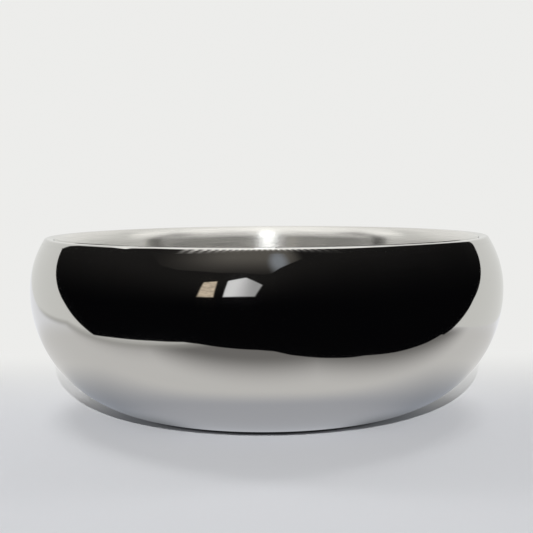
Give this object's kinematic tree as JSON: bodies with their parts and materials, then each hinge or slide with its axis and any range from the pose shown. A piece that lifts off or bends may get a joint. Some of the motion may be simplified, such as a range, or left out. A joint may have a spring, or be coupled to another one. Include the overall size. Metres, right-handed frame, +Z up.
{
  "type": "double-wall pet bowl",
  "caption": "Round double-wall steel pet bowl with a mirror-polished belly shell, satin inner bowl, rounded rim and a rubber ring under its foot.",
  "frame": {"origin": "centre of the rubber ring's resting face, on the surface that the bowl stands on", "axes": "+Z up along the bowl's axis, -Y towards the viewer of the picture; the bowl is round, so X and Y are free"},
  "size_m": [0.2, 0.2, 0.075],
  "materials": {
    "polished_steel": "mirror-polished stainless steel",
    "satin_steel": "satin, brushed round the bowl",
    "polished_rim": "weld ground round and polished",
    "mill_steel": "dull mill finish",
    "weld_steel": "dull weld metal",
    "black_rubber": "matt moulded rubber"
  },
  "bodies": {
    "root": {"outer_shell": "polished_steel", "inner_bowl": "satin_steel", "rim_bead": "polished_rim", "base_plate": "mill_steel", "base_weld": "weld_steel", "rubber_ring": "black_rubber"}
  },
  "joints": []
}
